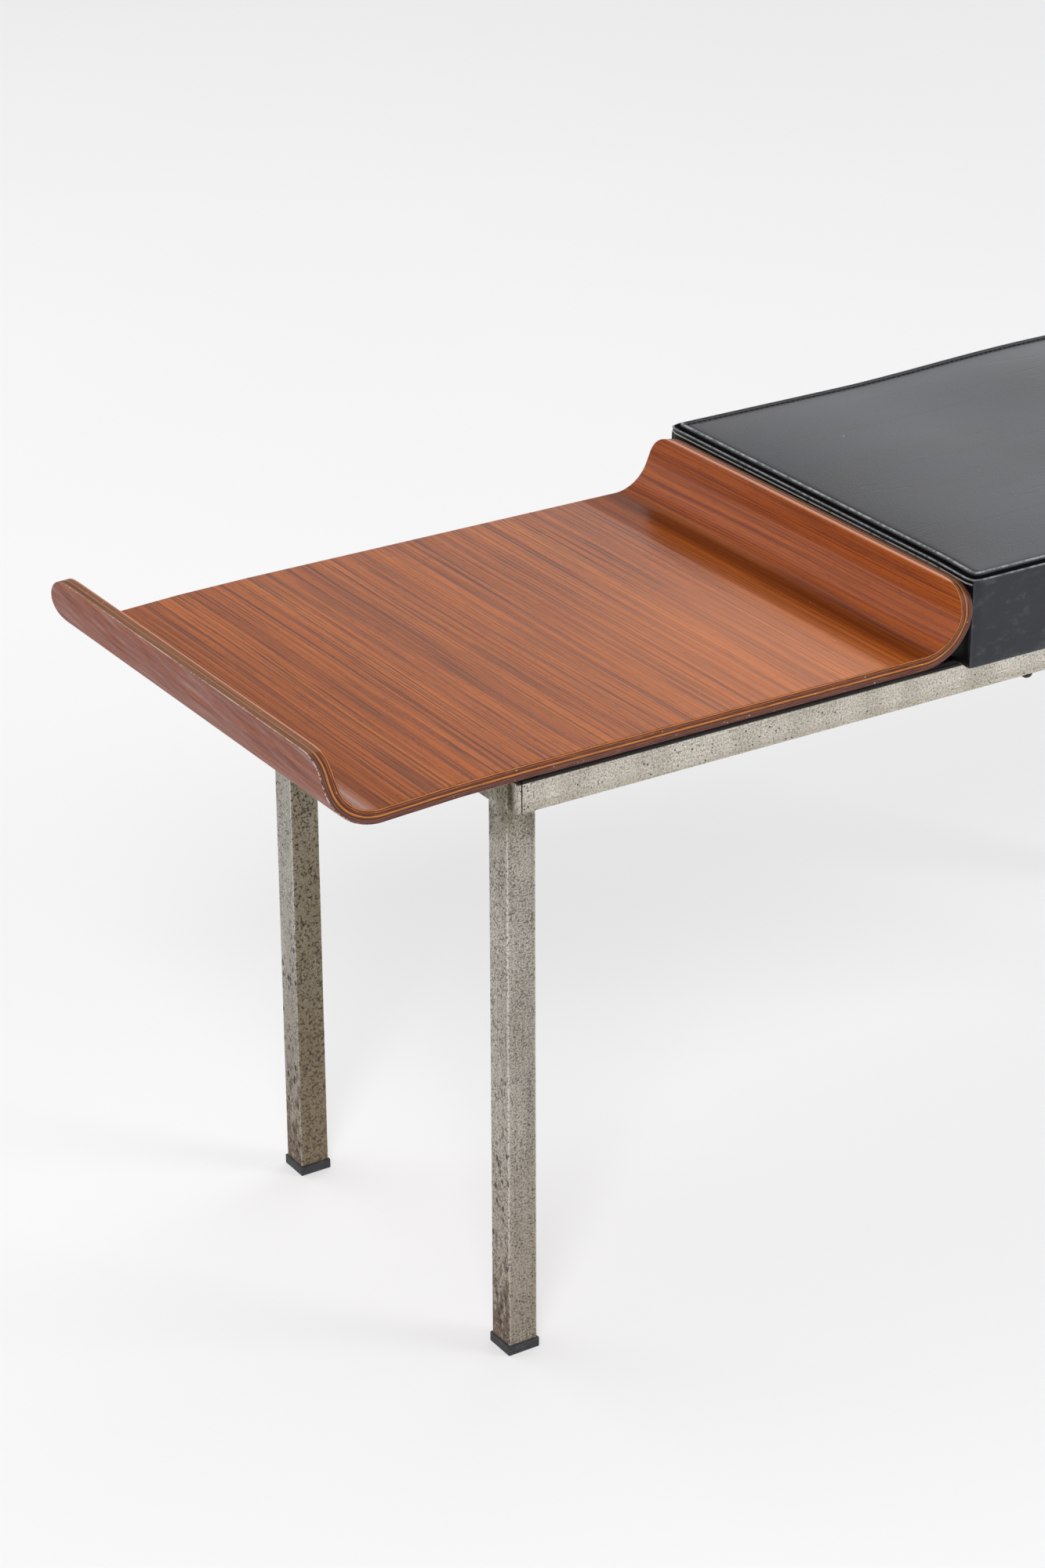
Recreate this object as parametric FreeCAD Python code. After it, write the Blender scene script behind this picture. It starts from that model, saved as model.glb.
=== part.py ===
import FreeCAD, Part
import math
import os

V = FreeCAD.Vector

# Sizes in millimetres. X runs along the bench with the tray at its -X end, -Y is the front,
# Z is up, and the origin is on the floor below the middle of the bench.

# Steel frame
frame_length = 820.0  # over the outer faces of the left and right legs
leg_pitch = 264.0  # front legs to back legs, centre to centre
frame_height = 400.0  # floor to the tops of legs, crossbars and rails
tube_width = 20.0  # square tube of legs and crossbars
tube_wall = 2.0
tube_corner = 2.0
rail_depth = 8.0
rail_wall = 1.5
rail_corner = 1.5

# Push-in caps that close the rail ends
cap_inset = 3.0  # set back from the legs' outer faces
cap_plate = 2.2
cap_drop = 1.5  # plate reaching below the rail
cap_seam = 0.8  # open seam between plate and rail end
cap_plug_length = 12.0
cap_plug_gap = 0.2

# Rubber foot caps
foot_height = 6.5
foot_proud = 0.7  # wider than the tube, on each side
foot_plug_length = 14.0
foot_plug_gap = 0.3

# Bent plywood tray
ply = 9.0
tray_side_overhang = 21.5  # past the rails, at front and back
floor_overhang = 98.0  # floor past the left legs, up to the bend
floor_inboard = 285.5  # floor from the left legs' outer faces to the inner bend
floor_droop = 3.0  # sag of the overhanging floor at the bend
bend_radius = 28.0  # on the inside of the bends
outer_lip_angle = 88.0  # degrees from level
outer_lip_straight = 10.5
inner_lip_angle = 80.5  # degrees from level
inner_lip_straight = 15.5
lip_corner = 26.0  # rounded corners of both lips

# Wooden battens and screws that carry the tray
batten_height = 13.0
batten_width = 18.0
batten_end_gap = 2.0  # to the inner faces of the legs
middle_bar_setback = 18.5  # middle crossbar short of the inner bend
tray_screw_inset = 40.0  # from the batten's ends
tray_screw_bite = 6.0  # into the plywood

# Upholstered seat
seat_gap = 0.5  # between the tray's lip and the seat
seat_side_overhang = 20.0  # past the rails, at front and back
seat_thickness = 61.0  # underside of the cover to its flat top
strip_height = 3.0  # rubber strips between rails and seat
strip_setback = 0.5  # narrower than the rail, on each side
strip_end_gap = 12.0
cover_thickness = 1.2
cover_corner = 10.0
cover_bottom_round = 7.0
cover_top_bevel = 4.0
flange_past_rail = 17.0  # cover folded under the seat, past the rails
board_thickness = 12.0
soft_gap = 0.3  # between the cover and what it holds
welt_inset = 5.0  # from the seat's edges
welt_width = 4.0
welt_height = 1.5
dust_thickness = 0.8
dust_gap = 0.5
seat_screw_first = 65.0  # from the seat's inner end
seat_screw_last = 65.0  # from the right legs' inner faces
seat_screw_bite = 9.0  # into the seat board

# Round-headed screws of tray and seat
screw_width = 4.0
screw_head_width = 8.0
screw_head_height = 4.0
screw_clearance = 0.3

SIDES = {"front": -1, "back": 1}
ENDS = {"left": -1, "right": 1}
SEAT_SCREWS_PER_RAIL = 2

# Places and sizes that follow
rail_height = tube_width
leg_outer = frame_length / 2
leg_inner = leg_outer - tube_width
leg_face = (leg_pitch + tube_width) / 2
rail_face = leg_face + rail_depth
rail_middle = leg_face + rail_depth / 2
rail_end = leg_outer - cap_inset - cap_plate - cap_seam
frame_underside = frame_height - tube_width
tray_bottom = frame_height + batten_height
tray_depth = 2 * (rail_face + tray_side_overhang)
batten_length = 2 * (leg_face - tube_width - batten_end_gap)
tray_screw_places = [-batten_length / 2 + tray_screw_inset, batten_length / 2 - tray_screw_inset]
outer_bend_start = -leg_outer - floor_overhang
inner_bend_start = floor_inboard - leg_outer
middle_bar_x = inner_bend_start - middle_bar_setback - tube_width / 2
left_bar_x = -leg_outer + tube_width / 2
hole_width = screw_width + 2 * screw_clearance


def bar(wide, high, long, radius):
    """Solid bar along Z with rounded long edges, its base centred on the origin."""
    box = Part.makeBox(wide, high, long, V(-wide / 2, -high / 2, 0))
    uprights = [e for e in box.Edges if e.BoundBox.ZLength > long / 2]
    return box.makeFillet(radius, uprights) if radius > 0 else box


def tube(wide, high, long, radius, wall):
    """Hollow bar along Z, open at both ends."""
    bore = bar(wide - 2 * wall, high - 2 * wall, long, radius - wall)
    return bar(wide, high, long, radius).cut(bore)


def along_x(shape, start):
    """Turns a bar from Z to X: its first size becomes the height, its second the depth."""
    turned = shape.copy()
    turned.rotate(V(0, 0, 0), V(0, 1, 0), 90)
    turned.translate(start)
    return turned


def along_y(shape, start):
    """Turns a bar from Z to Y: its first size stays the width, its second becomes the height."""
    turned = shape.copy()
    turned.rotate(V(0, 0, 0), V(1, 0, 0), -90)
    turned.translate(start)
    return turned


def drill(shape, places, low, high):
    """Cuts upright screw holes at the given places."""
    for x, y in places:
        shape = shape.cut(Part.makeCylinder(hole_width / 2, high - low, V(x, y, low)))
    return shape


def screw(x, y, seat_z, tip_z):
    """Upright screw with a round head below seat_z and its tip at tip_z."""
    head = Part.makeCylinder(screw_head_width / 2, screw_head_height, V(x, y, seat_z - screw_head_height))
    shank = Part.makeCylinder(screw_width / 2, tip_z - seat_z, V(x, y, seat_z))
    return head.fuse(shank)


def rounded_block(low, high, corner):
    """Block with rounded upright edges."""
    size = high - low
    block = bar(size.x, size.y, size.z, corner)
    block.translate(V((low.x + high.x) / 2, (low.y + high.y) / 2, low.z))
    return block


def rim(block, z):
    """Edges of a block that lie at the height z."""
    return [e for e in block.Edges if abs(e.BoundBox.ZMin - z) + abs(e.BoundBox.ZMax - z) < 0.01]


def legs():
    """Four tubes standing in the foot caps."""
    made = {}
    upright = tube(tube_width, tube_width, frame_height - foot_height, tube_corner, tube_wall)
    for side, sy in SIDES.items():
        for end, sx in ENDS.items():
            leg = upright.copy()
            leg.translate(V(sx * (leg_outer - tube_width / 2), sy * leg_pitch / 2, foot_height))
            made[f"leg_{side}_{end}"] = leg
    return made


def feet():
    """Rubber caps: a block under the tube and a plug inside it."""
    made = {}
    block_width = tube_width + 2 * foot_proud
    plug_width = tube_width - 2 * (tube_wall + foot_plug_gap)
    block = bar(block_width, block_width, foot_height, tube_corner + foot_proud)
    plug = bar(plug_width, plug_width, foot_height + foot_plug_length, tube_corner - tube_wall)
    cap = block.fuse(plug).removeSplitter()
    for side, sy in SIDES.items():
        for end, sx in ENDS.items():
            foot = cap.copy()
            foot.translate(V(sx * (leg_outer - tube_width / 2), sy * leg_pitch / 2, 0))
            made[f"foot_{side}_{end}"] = foot
    return made


def crossbars():
    """End bars between the legs and a middle bar between the rails; two are drilled for the tray."""
    made = {}
    spans = {
        "left": (left_bar_x, leg_face - tube_width),
        "middle": (middle_bar_x, leg_face),
        "right": (-left_bar_x, leg_face - tube_width),
    }
    for name, (x, reach) in spans.items():
        shape = tube(tube_width, tube_width, 2 * reach, tube_corner, tube_wall)
        shape = along_y(shape, V(x, -reach, frame_height - tube_width / 2))
        if name != "right":
            holes = [(x, y) for y in tray_screw_places]
            shape = drill(shape, holes, frame_underside, frame_height)
        made[f"crossbar_{name}"] = shape
    return made


def seat_screw_places(side, seat_start):
    """Screws spaced evenly along one rail, under the seat."""
    first = seat_start + seat_screw_first
    last = leg_inner - seat_screw_last
    step = (last - first) / (SEAT_SCREWS_PER_RAIL - 1)
    return [(first + step * i, side * rail_middle) for i in range(SEAT_SCREWS_PER_RAIL)]


def rails(seat_start):
    """Flat tubes welded along the legs' front and back faces, drilled for the seat's screws."""
    made = {}
    for side, sy in SIDES.items():
        shape = tube(rail_height, rail_depth, 2 * rail_end, rail_corner, rail_wall)
        shape = along_x(shape, V(-rail_end, sy * rail_middle, frame_height - rail_height / 2))
        shape = drill(shape, seat_screw_places(sy, seat_start), frame_underside, frame_height)
        made[f"rail_{side}"] = shape
    return made


def rail_caps():
    """Plates with plugs that close the rail ends and hang a little below them."""
    made = {}
    plate = bar(rail_height + cap_drop, rail_depth, cap_plate, rail_corner)
    plug_height = rail_height - 2 * (rail_wall + cap_plug_gap)
    plug_depth = rail_depth - 2 * (rail_wall + cap_plug_gap)
    plug = Part.makeBox(plug_height, plug_depth, cap_plate + cap_seam + cap_plug_length)
    plug.translate(V(-(plug_height + cap_drop) / 2, -plug_depth / 2, 0))
    cap = along_x(plate.fuse(plug), V(-leg_outer + cap_inset, 0, frame_height - (rail_height + cap_drop) / 2))
    for side, sy in SIDES.items():
        for end, sx in ENDS.items():
            shape = cap.copy() if end == "left" else cap.mirror(V(0, 0, 0), V(1, 0, 0))
            shape.translate(V(0, sy * rail_middle, 0))
            made[f"rail_cap_{side}_{end}"] = shape
    return made


class SheetWalk:
    """Follows the underside of a bent sheet and keeps both faces' edges as it turns."""

    def __init__(self, thickness, heading):
        self.thickness = thickness
        self.place = V(0, 0, 0)
        self.heading = math.radians(heading)
        self.under = []
        self.upper = []

    def forward(self):
        return V(math.cos(self.heading), 0, math.sin(self.heading))

    def left(self):
        return V(-math.sin(self.heading), 0, math.cos(self.heading))

    def over(self):
        return self.place + self.left() * self.thickness

    def straight(self, length):
        starts = (self.place, self.over())
        self.place = self.place + self.forward() * length
        self.under.append(Part.LineSegment(starts[0], self.place).toShape())
        self.upper.append(Part.LineSegment(starts[1], self.over()).toShape())

    def turn(self, radius, angle):
        """Bends by an angle in degrees, to the left if positive; radius is that of the underside."""
        side = math.copysign(1, angle)
        centre = self.place + self.left() * (radius * side)
        tracks = []
        for share in (0, 0.5, 1):
            heading = self.heading + math.radians(angle) * share
            spoke = V(math.sin(heading), 0, -math.cos(heading)) * side
            tracks.append((centre + spoke * radius, centre + spoke * (radius - self.thickness * side)))
        self.under.append(Part.Arc(*[t[0] for t in tracks]).toShape())
        self.upper.append(Part.Arc(*[t[1] for t in tracks]).toShape())
        self.place = tracks[2][0]
        self.heading += math.radians(angle)

    def face(self):
        """Closed section of the sheet walked so far."""
        starts = [track[0].Vertexes[0].Point for track in (self.under, self.upper)]
        ends = [Part.LineSegment(*starts).toShape()]
        ends.append(Part.LineSegment(self.place, self.over()).toShape())
        return Part.Face(Part.Wire(Part.__sortEdges__(self.under + self.upper + ends)))


def tray():
    """One plywood sheet: outer lip, bend, drooping overhang, level floor, bend, inner lip."""
    slope = math.degrees(2 * math.atan2(floor_droop, floor_overhang))
    droop_radius = floor_overhang / math.sin(math.radians(slope))
    outside = bend_radius + ply

    walk = SheetWalk(ply, -outer_lip_angle)
    walk.straight(outer_lip_straight)
    walk.turn(outside, outer_lip_angle + slope)
    walk.turn(droop_radius, -slope)
    level_start = walk.place
    walk.straight(floor_inboard)
    walk.turn(outside, inner_lip_angle)
    walk.straight(inner_lip_straight)

    sheet = walk.face().extrude(V(0, tray_depth, 0))
    sheet.translate(V(-leg_outer, -tray_depth / 2, tray_bottom) - level_start)
    box = sheet.BoundBox
    for x_low, x_high in ((box.XMin, outer_bend_start), (inner_bend_start, box.XMax)):
        top = max(v.Z for v in sheet.Vertexes if x_low <= v.X <= x_high)
        for sy in SIDES.values():
            sheet = sheet.cut(corner_waste(x_low, x_high, sy, top))
    holes = [(x, y) for x in (left_bar_x, middle_bar_x) for y in tray_screw_places]
    return drill(sheet, holes, tray_bottom, tray_bottom + tray_screw_bite)


def corner_waste(x_low, x_high, side, top):
    """What is sawn away to round one upper corner of a lip."""
    length = x_high - x_low
    axis_y = side * (tray_depth / 2 - lip_corner)
    axis_z = top - lip_corner
    block = Part.makeBox(length, lip_corner + 1, lip_corner + 1, V(x_low, axis_y, axis_z))
    if side < 0:
        block = block.mirror(V(0, axis_y, 0), V(0, 1, 0))
    return block.cut(Part.makeCylinder(lip_corner, length, V(x_low, axis_y, axis_z), V(1, 0, 0)))


def tray_supports():
    """Battens on two crossbars, and the screws through both into the plywood."""
    made = {}
    screws = []
    for name, x in (("left", left_bar_x), ("middle", middle_bar_x)):
        places = [(x, y) for y in tray_screw_places]
        low = V(x - batten_width / 2, -batten_length / 2, frame_height)
        batten = Part.makeBox(batten_width, batten_length, batten_height, low)
        made[f"tray_batten_{name}"] = drill(batten, places, frame_height, tray_bottom)
        screws += [screw(px, py, frame_underside, tray_bottom + tray_screw_bite) for px, py in places]
    made["tray_screws"] = Part.makeCompound(screws)
    return made


def seat(x_low, x_high):
    """Strips, cover, board, foam, stitched welt, dust cover and screws."""
    made = {}
    half = rail_face + seat_side_overhang
    bottom = frame_height + strip_height
    top = bottom + seat_thickness
    board_bottom = bottom + cover_thickness
    board_top = board_bottom + board_thickness
    flange = seat_side_overhang + rail_depth + flange_past_rail
    places = [p for sy in SIDES.values() for p in seat_screw_places(sy, x_low)]

    def block(inset, z_low, z_high):
        low = V(x_low + inset, -half + inset, z_low)
        high = V(x_high - inset, half - inset, z_high)
        return rounded_block(low, high, cover_corner - inset)

    t = cover_thickness
    lower_bevel = (cover_bottom_round - t) * (2 - math.sqrt(2))
    upper_bevel = cover_top_bevel - t * (2 - math.sqrt(2))
    shell = block(0, bottom, top)
    shell = shell.makeFillet(cover_bottom_round, rim(shell, bottom))
    shell = shell.makeChamfer(cover_top_bevel, rim(shell, top))
    hollow = block(t, board_bottom, top - t)
    hollow = hollow.makeChamfer(lower_bevel, rim(hollow, board_bottom))
    hollow = hollow.makeChamfer(upper_bevel, rim(hollow, top - t))
    opening = Part.makeBox(
        x_high - x_low - 2 * flange,
        2 * (half - flange),
        2 * t,
        V(x_low + flange, -half + flange, bottom - t / 2),
    )
    cover = shell.cut(hollow).cut(opening)
    made["seat_cover"] = drill(cover, places, bottom, board_bottom)

    board = block(t + soft_gap + lower_bevel, board_bottom, board_top)
    made["seat_board"] = drill(board, places, board_bottom, board_bottom + seat_screw_bite)
    foam = block(t + soft_gap, board_top, top - t)
    made["seat_foam"] = foam.makeChamfer(upper_bevel, rim(foam, top - t))

    ring = block(welt_inset, top, top + welt_height)
    made["seat_welt"] = ring.cut(block(welt_inset + welt_width, top, top + welt_height))

    made["seat_dust_cover"] = Part.makeBox(
        x_high - x_low - 2 * (flange + dust_gap),
        2 * (half - flange - dust_gap),
        dust_thickness,
        V(x_low + flange + dust_gap, -half + flange + dust_gap, board_bottom - dust_thickness),
    )

    strip_start = x_low + strip_end_gap
    strip_length = rail_end - strip_end_gap - strip_start
    strip_width = rail_depth - 2 * strip_setback
    for side, sy in SIDES.items():
        low = V(strip_start, sy * rail_middle - strip_width / 2, frame_height)
        strip = Part.makeBox(strip_length, strip_width, strip_height, low)
        made[f"seat_strip_{side}"] = drill(strip, seat_screw_places(sy, x_low), frame_height, bottom)
    tip = board_bottom + seat_screw_bite
    made["seat_screws"] = Part.makeCompound([screw(x, y, frame_underside, tip) for x, y in places])
    return made


tray_sheet = tray()
seat_start = tray_sheet.BoundBox.XMax + seat_gap
seat_end = -tray_sheet.BoundBox.XMin

nodes = {"tray": tray_sheet}
nodes.update(legs())
nodes.update(feet())
nodes.update(crossbars())
nodes.update(rails(seat_start))
nodes.update(rail_caps())
nodes.update(tray_supports())
nodes.update(seat(seat_start, seat_end))

os.makedirs("parts", exist_ok=True)
for name, shape in nodes.items():
    shape.exportStep(f"parts/{name}.step")
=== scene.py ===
import random
from math import atan2, copysign, cos, degrees, exp, pi, radians, sin, tanh

import bpy
import numpy as np
from mathutils import Matrix, Vector


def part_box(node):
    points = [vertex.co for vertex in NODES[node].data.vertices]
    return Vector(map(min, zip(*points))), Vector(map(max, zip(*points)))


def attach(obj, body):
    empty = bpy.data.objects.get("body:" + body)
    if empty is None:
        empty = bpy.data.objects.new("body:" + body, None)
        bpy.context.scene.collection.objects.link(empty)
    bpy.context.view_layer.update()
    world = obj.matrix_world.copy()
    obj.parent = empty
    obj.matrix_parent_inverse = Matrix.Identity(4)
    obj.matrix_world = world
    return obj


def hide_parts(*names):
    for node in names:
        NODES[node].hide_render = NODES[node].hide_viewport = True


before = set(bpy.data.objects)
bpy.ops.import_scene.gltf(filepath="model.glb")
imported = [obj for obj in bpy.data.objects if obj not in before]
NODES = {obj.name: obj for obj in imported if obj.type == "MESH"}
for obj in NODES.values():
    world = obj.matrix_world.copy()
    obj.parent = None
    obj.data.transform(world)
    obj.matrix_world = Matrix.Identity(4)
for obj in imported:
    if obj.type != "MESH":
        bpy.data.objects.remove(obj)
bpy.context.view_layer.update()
SCENE = bpy.context.scene
MM = 0.001
ALONG_X, ALONG_Y, UPRIGHT = 0, 1, 2

# Frame sizes in millimetres; tubes and feet are fitted closer to the photograph than the solids
LEG_OUTER = 410
LEG_CENTRE = (400, 132)
LEG_WIDTH = 20.4
BAR_CORNER = 0.8
BAR_DROP = 1.4
FOOT_WIDTH = 22.8
FOOT_HEIGHT = 6.5

# Tray sizes in millimetres, with the floor fitted as well; a lip is (degrees of its bend, straight end)
PLY = 9
TRAY_DEPTH = 343
TRAY_BOTTOM = 413
FLOOR_OVERHANG = 101
FLOOR_INBOARD = 286.5
FLOOR_DROOP = 3
BEND_RADIUS = 28
OUTER_LIP = (88, 10.5)
INNER_LIP = (80.5, 15.5)
LIP_CORNER = 26
CORNER_POWER = 2.6

# Seat sizes in millimetres: levels, swell of the padding, lengthwise bow, left end out of square
SEAT_BOTTOM = 403
SEAT_TOP = 464
CROWN = 3
SIDE_SWELL = 1.2
END_SWELL = 0.2
CORNER_SEAM = 0.7
BOW_RISE = 4
BOW_OUT = 2
BOW_START = 140
BOW_RUN = 175
SKEW_FRONT = -2.4
SKEW_BACK = 3.8

# Section of the seat in millimetres, from below: (inset from the seat's edge, level)
TURNED_UNDER = ((9.3, 403), (6, 402.9), (3.4, 403), (1.9, 403.6), (1, 404.8), (0.7, 407.5))
SIDE_INSET = 0.6
SIDE_LEVELS = (412, 417, 423, 429, 435, 441, 447, 452, 456)
BEADED_EDGE = (
    (0.6, 458.6), (0.7, 460), (0.8, 461), (0.5, 461.4), (0.15, 461.9), (0.1, 462.5),
    (0.4, 463), (0.9, 463.3), (1.4, 463.1), (1.8, 462.3), (2.2, 461.1),
)
FLAT_BORDER = ((3, 460.7), (4.2, 460.7))
RAISED_SEAM = (
    (4.7, 461.3), (5, 462.6), (5.1, 464), (5.4, 465.1), (6, 465.6), (6.7, 465.7),
    (7.3, 465.4), (7.7, 464.8),
)
STITCHED_GROOVE = ((8, 463.9), (8.4, 463.3), (8.9, 463.3), (9.4, 463.9))
SIDES = tuple((SIDE_INSET, level) for level in SIDE_LEVELS)
PROFILE = TURNED_UNDER + SIDES + BEADED_EDGE + FLAT_BORDER + RAISED_SEAM + STITCHED_GROOVE
FIRST_SIDE = len(TURNED_UNDER)
# First and last row of that section on the bead and on the ridge of the seam, which get painted highlights,
# and in the groove
BEAD = (20, 22)
CREST = (31, 33)
GROOVE = (36, 38)

# Screws in millimetres: two columns along X, and their distance from the middle along Y
SEAT_SCREWS = ((-19.95, 325), 146)
TRAY_SCREWS = ((-400, -153), 80)

# Places in metres that materials refer to; a band is (outer limits, inner limits)
RAIL_TOP_SHADE = (0.3975, 0.3982)
CAP_SEAM_BAND = ((0.4038, 0.4049), (0.4041, 0.4047))
LIP_DUST_BAND = ((0.4588, 0.4602), (0.4592, 0.4598))
SEAT_LEFT_END = (-0.128, -0.118)

# Camera worked out from the photograph's straight edges: metres, degrees of yaw, pitch and roll, pixels
CAMERA_PLACE = (-1.504474, -1.878606, 1.346661)
CAMERA_ANGLES = (32.484, 24.834, 0.228)
FOCAL_PIXELS = 4910.868
PHOTO_HEIGHT = 2000
SENSOR_MM = 36

# Lamps: place and aim in metres, diameter in metres, watts
LAMPS = {
    "key": ((-3.1, -3.7, 4.2), (0, 0, 0.3), 2.2, 180),
    "fill": ((3.2, -3.4, 2.6), (0, 0, 0.2), 2, 80),
    "rim": ((-1.9, 2.9, 1.9), (-0.1, 0, 0.42), 3.4, 34),
}


def rgb(r, g, b):
    """Linear colour of an sRGB triple from 0 to 255."""
    def linear(v):
        v /= 255
        return v / 12.92 if v <= 0.04045 else ((v + 0.055) / 1.055) ** 2.4

    return (linear(r), linear(g), linear(b), 1)


class Nodes:
    """A node tree with short calls for its nodes."""

    def __init__(self, tree):
        self.tree = tree

    def add(self, kind, inputs=None, **settings):
        """A new node; its inputs take values or links."""
        node = self.tree.nodes.new("ShaderNode" + kind)
        for key, value in settings.items():
            setattr(node, key, value)
        for key, value in (inputs or {}).items():
            self.put(node.inputs[key], value)
        return node

    def put(self, socket, value):
        if isinstance(value, bpy.types.NodeSocket):
            self.tree.links.new(value, socket)
        else:
            socket.default_value = value

    def math(self, operation, *values):
        return self.add("Math", dict(enumerate(values)), operation=operation).outputs[0]

    def chain(self, operation, values):
        """One operation over several values in turn."""
        result = values[0]
        for value in values[1:]:
            result = self.math(operation, result, value)
        return result

    def times(self, *values):
        return self.chain("MULTIPLY", values)

    def plus(self, *values):
        return self.chain("ADD", values)

    def most(self, *values):
        return self.chain("MAXIMUM", values)

    def off(self, value, middle):
        """Distance of a value from a middle one."""
        return self.math("ABSOLUTE", self.math("SUBTRACT", value, middle))

    def scaled(self, vector, scale):
        return self.add("VectorMath", {0: vector, 1: scale}, operation="MULTIPLY").outputs[0]

    def split(self, vector):
        return self.add("SeparateXYZ", {0: vector}).outputs

    def join(self, x, y, z=0):
        return self.add("CombineXYZ", {0: x, 1: y, 2: z}).outputs[0]

    def uv(self, name):
        return self.add("UVMap", uv_map=name).outputs[0]

    def facing(self):
        """X, Y and Z of the surface's direction."""
        return self.split(self.add("NewGeometry").outputs["Normal"])

    def noise_on(self, vector, scale, detail=2, rough=0.5):
        """Soft noise; three scales stretch it along the axes."""
        if isinstance(scale, tuple):
            vector, scale = self.scaled(vector, scale), 1
        inputs = {"Vector": vector, "Scale": scale, "Detail": detail, "Roughness": rough}
        return self.add("TexNoise", inputs).outputs[0]

    def cells(self, vector, scale):
        return self.add("TexVoronoi", {"Vector": vector, "Scale": scale}).outputs

    def fade(self, value, low, high):
        """0 below low, 1 above high; the other way round if low is the larger."""
        inputs = {"Value": value, "From Min": min(low, high), "From Max": max(low, high)}
        inputs["To Min"] = float(low > high)
        inputs["To Max"] = float(low < high)
        return self.add("MapRange", inputs, interpolation_type="SMOOTHSTEP").outputs[0]

    def band(self, value, outer, inner):
        """1 between two inner limits, 0 outside two outer ones."""
        return self.times(self.fade(value, outer[0], inner[0]), self.fade(value, outer[1], inner[1]))

    def spots(self, vector, scale, size, share):
        """Round spots in a random share of the cells."""
        cells = self.cells(vector, scale)
        chosen = self.fade(self.split(cells["Color"])[0], 1 - share, 1 - share + 0.02)
        return self.times(self.fade(cells["Distance"], size, size * 0.55), chosen)

    def ramp(self, value, stops, interpolation="LINEAR"):
        node = self.add("ValToRGB", {0: value})
        node.color_ramp.interpolation = interpolation
        elements = node.color_ramp.elements
        while len(elements) < len(stops):
            elements.new(0.5)
        for element, (place, colour) in zip(elements, stops):
            element.position = place
            element.color = colour
        return node.outputs[0]

    def mix(self, factor, a, b):
        """Colour between a and b."""
        return self.add("Mix", {0: factor, 6: a, 7: b}, data_type="RGBA").outputs[2]

    def blend(self, factor, a, b):
        """Number between a and b."""
        return self.add("Mix", {0: factor, 2: a, 3: b}, data_type="FLOAT").outputs[0]

    def bump(self, height, distance, strength=1):
        return self.add("Bump", {"Height": height, "Distance": distance, "Strength": strength}).outputs[0]


class Graph(Nodes):
    """A material whose colour is built up in layers."""

    def __init__(self, name):
        self.material = bpy.data.materials.new(name)
        self.material.use_nodes = True
        super().__init__(self.material.node_tree)
        self.surface = self.tree.nodes["Principled BSDF"]
        self.points = self.add("TexCoord").outputs["Object"]
        self.colour = None

    def noise(self, *settings):
        """Soft noise over the object's own points."""
        return self.noise_on(self.points, *settings)

    def cover(self, colour, *amounts):
        """Lays a colour over the one so far, by the product of the amounts."""
        self.colour = self.mix(self.times(*amounts), self.colour, colour)

    def finish(self, **inputs):
        """Sets the shader's inputs, with the built-up colour as its base."""
        self.put(self.surface.inputs["Base Color"], self.colour)
        for name, value in inputs.items():
            self.put(self.surface.inputs[name.replace("_", " ").title().replace("Ior", "IOR")], value)
        return self.material


class SheetGraph(Graph):
    """Material of the bent sheet: run follows its section, along the grain, layer the thickness."""

    def __init__(self, name):
        super().__init__(name)
        sheet = self.uv("sheet")
        self.layer = self.split(self.uv("ply"))[0]
        self.run, self.along, _ = self.split(sheet)
        wander = self.plus(self.noise_on(sheet, (7, 3, 0), 1), -0.5)
        self.across = self.plus(self.run, self.times(wander, 0.007))


def veneer_grain(g):
    """Streaky red-brown veneer; returns the relief of its grain."""
    grain = g.join(g.across, g.along)
    bands = g.noise_on(grain, (52, 1.2, 0))
    streaks = g.noise_on(grain, (210, 2, 0), 3, 0.6)
    lines = g.noise_on(grain, (640, 3.2, 0), 4, 0.8)
    strands = g.fade(g.off(g.noise_on(grain, (420, 2.8, 0), 1), 0.5), 0.08, 0.02)
    fibre = g.noise_on(grain, (2000, 34, 0))
    pores = g.noise_on(grain, (1500, 120, 0), 1)
    g.colour = g.ramp(bands, [(0.32, rgb(156, 77, 20)), (0.5, rgb(171, 88, 25)), (0.68, rgb(186, 101, 31))])
    g.cover(rgb(102, 48, 20), g.fade(streaks, 0.46, 0.68), 0.32)
    g.cover(rgb(82, 38, 22), g.fade(lines, 0.49, 0.58), 0.8)
    g.cover(rgb(72, 32, 22), strands, g.fade(streaks, 0.36, 0.58), 0.5)
    g.cover(rgb(108, 50, 24), g.fade(fibre, 0.45, 0.8), 0.35)
    g.cover(rgb(56, 24, 14), g.fade(pores, 0.62, 0.72), 0.5)
    fine = g.plus(g.times(fibre, -0.22), g.times(pores, -0.2))
    return g.plus(fine, g.plus(g.times(lines, -1), g.times(streaks, -3)))


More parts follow.
